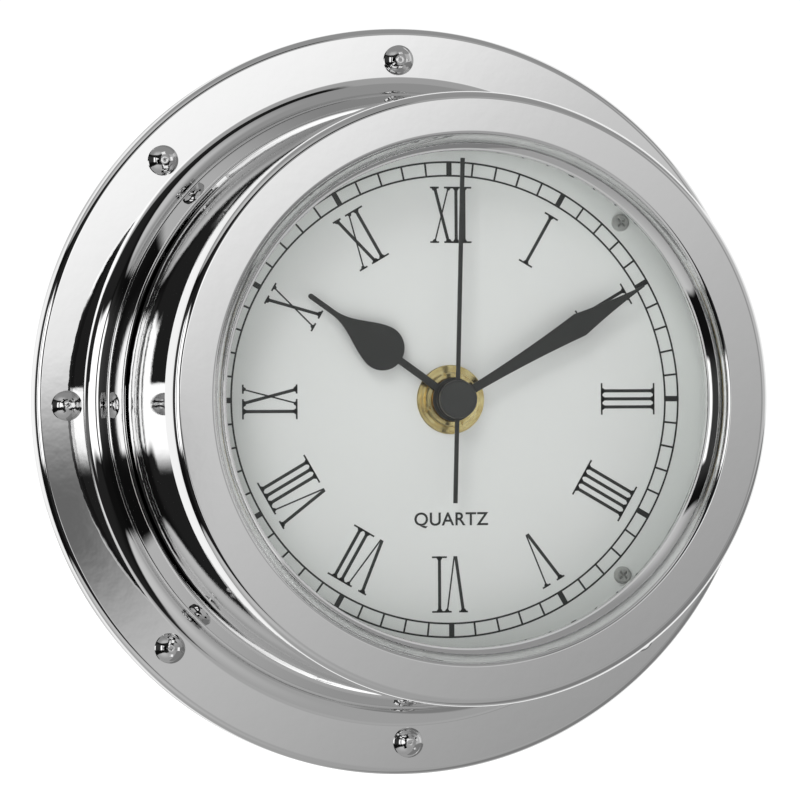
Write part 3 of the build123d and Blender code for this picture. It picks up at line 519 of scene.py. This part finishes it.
FLANGE, FLANGE_FACE, RIM_ROUND = reach("mounting_base"), 4.0, 1.4
COVE, COVE_WIDTH, COVE_HEIGHT = FLANGE - 9.8, 3.7, 2.3
COLLAR_FOOT, COLLAR_BORE, COLLAR_FRONT = COVE - COVE_WIDTH, DRUM + 0.35, front("mounting_base")
BEAD_AT, BEAD_DEPTH, BEAD_ROUND = COLLAR_FOOT - 0.4, 9.5, 0.45
MOUTH_AT, MOUTH_ROUND = COLLAR_BORE + 0.27, 0.45
FLAT_START = 0.06


def arc(centre, reach, start, stop, steps=12):
    """Points on a turned profile, as radius and depth, along an arc or a stretched arc."""
    angles = [radians(start + (stop - start) * step / steps) for step in range(steps + 1)]
    return [(centre[0] + reach[0] * cos(angle), centre[1] + reach[1] * sin(angle)) for angle in angles]


def turned(name, profile, body, stands_for):
    """A polished ring that stands for a node of the CAD."""
    bm = bmesh.new()
    spun(bm, profile, 320)
    bmesh.ops.remove_doubles(bm, verts=bm.verts, dist=0.002 * MM)
    made = piece(name, bm, chrome, body)
    made.data.shade_smooth()
    made.data.set_sharp_from_angle(angle=radians(32))
    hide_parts(stands_for)


def turned_bezel():
    """The bezel as one turned ring: rounded rim, flat face, dish and lip in front, spigot behind."""
    profile = [(BEZEL, SHOULDER), (BEZEL - 0.02, SHOULDER + 0.3)]
    profile += arc((FACE_OUTER, FACE - OUTER_ROUND), (OUTER_ROUND, OUTER_ROUND), 3, 90)
    profile += [(FACE_OUTER - FLAT_START, FACE), (FACE_INNER + FLAT_START, FACE)]
    profile += arc((FACE_INNER, FACE - INNER_ROUND), (INNER_ROUND, INNER_ROUND), 90, 162)
    profile += arc(DISH_CENTRE, (DISH_ROUND, DISH_ROUND), -18, -54)
    lip_depth = GLASS_FACE + LIP_HEIGHT - LIP_ROUND
    profile += arc((LIP + LIP_ROUND, lip_depth), (LIP_ROUND, LIP_ROUND), 126, 180, 6)
    profile += [(LIP, GLASS_FACE), (SEAT, GLASS_FACE), (SEAT, SPIGOT_END)]
    profile += [(SPIGOT, SPIGOT_END), (SPIGOT, SHOULDER)]
    turned("turned_bezel", profile, "case", "bezel")


def turned_base():
    """The base as one turned ring: flange with a rounded rim, cove, bead and tapered collar."""
    flat_outer, cove_foot = FLANGE - RIM_ROUND, FLANGE_FACE + COVE_HEIGHT
    profile = [(COLLAR_BORE, 0), (FLANGE, 0)]
    profile += arc((flat_outer, FLANGE_FACE - RIM_ROUND), (RIM_ROUND, RIM_ROUND), 0, 90)
    profile += [(flat_outer - FLAT_START, FLANGE_FACE), (COVE + FLAT_START, FLANGE_FACE)]
    profile += arc((COVE, cove_foot), (COVE_WIDTH, -COVE_HEIGHT), 90, 180, 20)
    profile += [(COLLAR_FOOT - 0.02, cove_foot + 0.2), (BEAD_AT + 0.12, BEAD_DEPTH - BEAD_ROUND - 0.05)]
    profile += arc((BEAD_AT, BEAD_DEPTH), (BEAD_ROUND, BEAD_ROUND), -77, 90, 10)
    profile += arc((MOUTH_AT, COLLAR_FRONT - MOUTH_ROUND), (MOUTH_ROUND, MOUTH_ROUND), 18, 90, 6)
    profile += [(COLLAR_BORE, COLLAR_FRONT)]
    turned("turned_base", profile, "base", "mounting_base")


turned_bezel()
turned_base()


# ---------------------------------------------------------------- camera and floor
CAMERA_DISTANCE = 991.1 * MM
CAMERA_SIDE, CAMERA_RISE, CAMERA_ROLL = radians(-13.88), radians(-0.432), radians(-0.343)
CAMERA_LENS, CAMERA_SENSOR = 225.84, 36.0
AIM = Vector((-4.641, -20.0, 0.127)) * MM
FLOOR_DROP, FLOOR_REACH = 120 * MM, 12.0


def towards(side, rise):
    """The direction from the clock, given how far to its right and how far up."""
    return Vector((sin(side) * cos(rise), -cos(side) * cos(rise), sin(rise)))


def add_camera():
    data = bpy.data.cameras.new("camera")
    data.lens, data.sensor_width = CAMERA_LENS, CAMERA_SENSOR
    made = bpy.data.objects.new("camera", data)
    bpy.context.scene.collection.objects.link(made)
    away = towards(CAMERA_SIDE, CAMERA_RISE)
    right = (-away).cross(Vector((0, 0, 1))).normalized()
    up = right.cross(-away)
    turned_right = right * cos(CAMERA_ROLL) + up * sin(CAMERA_ROLL)
    turned_up = up * cos(CAMERA_ROLL) - right * sin(CAMERA_ROLL)
    place = Matrix((turned_right, turned_up, away)).transposed().to_4x4()
    place.translation = AIM + away * CAMERA_DISTANCE
    made.matrix_world = place
    bpy.context.scene.camera = made


def add_floor():
    bm = bmesh.new()
    bmesh.ops.create_grid(bm, x_segments=1, y_segments=1, size=FLOOR_REACH)
    mesh = bpy.data.meshes.new("floor")
    bm.to_mesh(mesh)
    bm.free()
    made = bpy.data.objects.new("floor", mesh)
    bpy.context.scene.collection.objects.link(made)
    made.location.z = cad_low.z - FLOOR_DROP
    pale, sh = material("pale_floor", grey(0.9))
    skin = sh.surface(Base_Color=grey(0.82), Roughness=0.9, Emission_Color=grey(1.0), Emission_Strength=0.75)
    mesh.materials.append(finished(pale, sh, skin))
    made.visible_glossy = False


# ---------------------------------------------------------------- studio
WHITE, SOFT_BOX = 1.06, 1.5
CEILING, GROUND = 0.335, 0.415
SCREEN, LENS_HOOD = 0.006, 0.16


def add_light(name, side, rise, distance, size, power):
    """A soft square light that leaves no shape of its own on the chrome."""
    data = bpy.data.lights.new(name, "AREA")
    data.size, data.energy = size, power
    made = bpy.data.objects.new(name, data)
    bpy.context.scene.collection.objects.link(made)
    away = towards(radians(side), radians(rise))
    place = away.to_track_quat("Z", "Y").to_matrix().to_4x4()
    place.translation = away * distance
    made.matrix_world = place
    made.visible_glossy = False


def over(below, mask, level):
    """Lays a level over what is below it, as far as the mask covers."""
    return below + mask * (level - below)


class Room:
    """Light by direction from the clock: side is degrees to its right, rise is degrees up."""

    def __init__(self, shader):
        self.spread = shader.spread
        x, y, z = shader.split(shader.node("ShaderNodeTexCoord", output=0))
        turn = shader.node("ShaderNodeMath", {"operation": "ARCTAN2"}, {0: x, 1: y * -1.0})
        self.side = turn * (180 / pi)
        self.rise = z.math("ARCSINE", z) * (180 / pi)

    def past(self, value, edge, soft):
        """1 where the value is past a soft edge."""
        return self.spread(value - edge, -soft, soft)

    def short_of(self, value, edge, soft):
        """1 where the value is short of a soft edge."""
        return self.spread(value - edge, soft, -soft)

    def patch(self, left, right, low, high, soft):
        """1 inside a soft-edged panel."""
        across = self.past(self.side, left, soft) * self.short_of(self.side, right, soft)
        return across * self.past(self.rise, low, soft) * self.short_of(self.rise, high, soft)

    def walls(self):
        """The white walls, with a grey ceiling and ground, and a duller panel right behind the clock."""
        level = over(WHITE, self.spread(self.rise, 48, 62), CEILING)
        level = over(level, self.spread(self.rise, -40, -60), 0.42)
        behind = self.spread((self.side * self.side) ** 0.5, 168, 176) * self.patch(-181, 181, -14, 16, 6)
        return over(level, behind, 0.55)

    def ceiling(self):
        """The ceiling in front, lighter over the left."""
        across = self.spread(self.side, -95, -45) * self.spread(self.side, 5, -30)
        return across * self.spread(self.rise, 62, 38) * 0.30 + CEILING

    def ground(self):
        """The ground in front, lighter on the left and darker on the right."""
        across = self.spread(self.side, -105, -48) * self.spread(self.side, 12, -34)
        sheen = across * self.spread(self.rise, -70, -24) * 0.25
        return sheen + GROUND - self.spread(self.side, 26, 34) * 0.17

    def soft_box(self):
        """The soft box: a tall panel on the left, tapered to the right, with one dark upright bar."""
        top = self.spread(self.side, -45, -12, 17.0, 8.0)
        foot = self.spread(self.side, -50, -14, -9.5, -4.5)
        right = self.spread(self.rise, 1.4, 2.4, -9.2, -13.2)
        box = 1 - self.past(self.rise, top, 1.2)
        box = box * self.past(self.rise, foot, 1.2)
        box = box * self.past(self.side, -63, 3.0) * self.short_of(self.side, right, 1.0)
        return box * (1 - self.patch(-50, -42.5, -40, 40, 1.0))

    def screen(self):
        """The dark screen that the clock faces on the left, with the soft box in it."""
        level = SCREEN + self.patch(-112, -50, -9, 21, 6) * 0.042 + self.patch(-40, 6, -18, 26, 6) * 0.012
        return over(level, self.soft_box(), SOFT_BOX)

    def pale_front(self):
        """The pale panel in front, sloping in tone, and the duller one to its right."""
        tilt = self.rise * 0.16 - self.side * 0.12 + 1.68
        level = tilt * 0.30 + 0.62 + self.spread(tilt, 0.3, 0.9) * 0.26
        level = over(level, self.past(self.rise, 6.5, 2), 0.42)
        level = over(level, self.short_of(self.rise, -5.5, 1.5), 0.45)
        level = over(level, self.spread(self.side, 19.5, 24), 0.36)
        right = 0.34 + self.spread(self.side, 30, 44) * 0.24 + self.spread(self.side, 68, 92) * 0.30
        right = right * self.spread(self.rise, -22, -8, 0.62, 1.0)
        return over(level, self.spread(self.side, 24.5, 29), right)

    def middle(self):
        """The band in front at the clock's own height: screen, pale panel and the dark lens hood."""
        bulge = self.past(self.rise, 6, 2) * self.short_of(self.rise, 18, 2) * 3.5
        edge = 2.5 + self.past(self.rise, 19, 2) * 7.5 - bulge
        level = over(self.screen(), self.past(self.side, edge, 1.5), self.pale_front())
        return over(level, self.patch(-8, 11.0, -2.0, 0.2, 0.9), LENS_HOOD)

    def light(self):
        band_foot = self.side * 0.13 - 19.8 + self.spread(self.side, -16, 4) * 5.0
        level = over(self.middle(), self.past(self.rise, 30.5, 1.5), self.ceiling())
        level = over(level, self.short_of(self.rise, band_foot, 1.5), self.ground())
        in_front = self.past(self.side, -108, 3) * self.short_of(self.side, 97, 3)
        return over(self.walls(), in_front, level)


def add_studio():
    """The room that the chrome mirrors; the camera itself sees plain white."""
    world = bpy.data.worlds.new("studio")
    bpy.context.scene.world = world
    world.use_nodes = True
    sh = Shader(world.node_tree)
    seen = sh.node("ShaderNodeLightPath")
    level = over(Room(sh).light(), seen, WHITE)
    lit = sh.node("ShaderNodeBackground", {}, {"Color": grey(1.0), "Strength": level})
    sh.node("ShaderNodeOutputWorld", {}, {"Surface": lit})


add_camera()
add_floor()
add_light("key_light", side=-30, rise=35, distance=1.4, size=0.5, power=6.3)
add_light("fill_light", side=-24, rise=2, distance=1.6, size=0.9, power=5)
add_studio()
bpy.context.scene.view_settings.view_transform = "Standard"
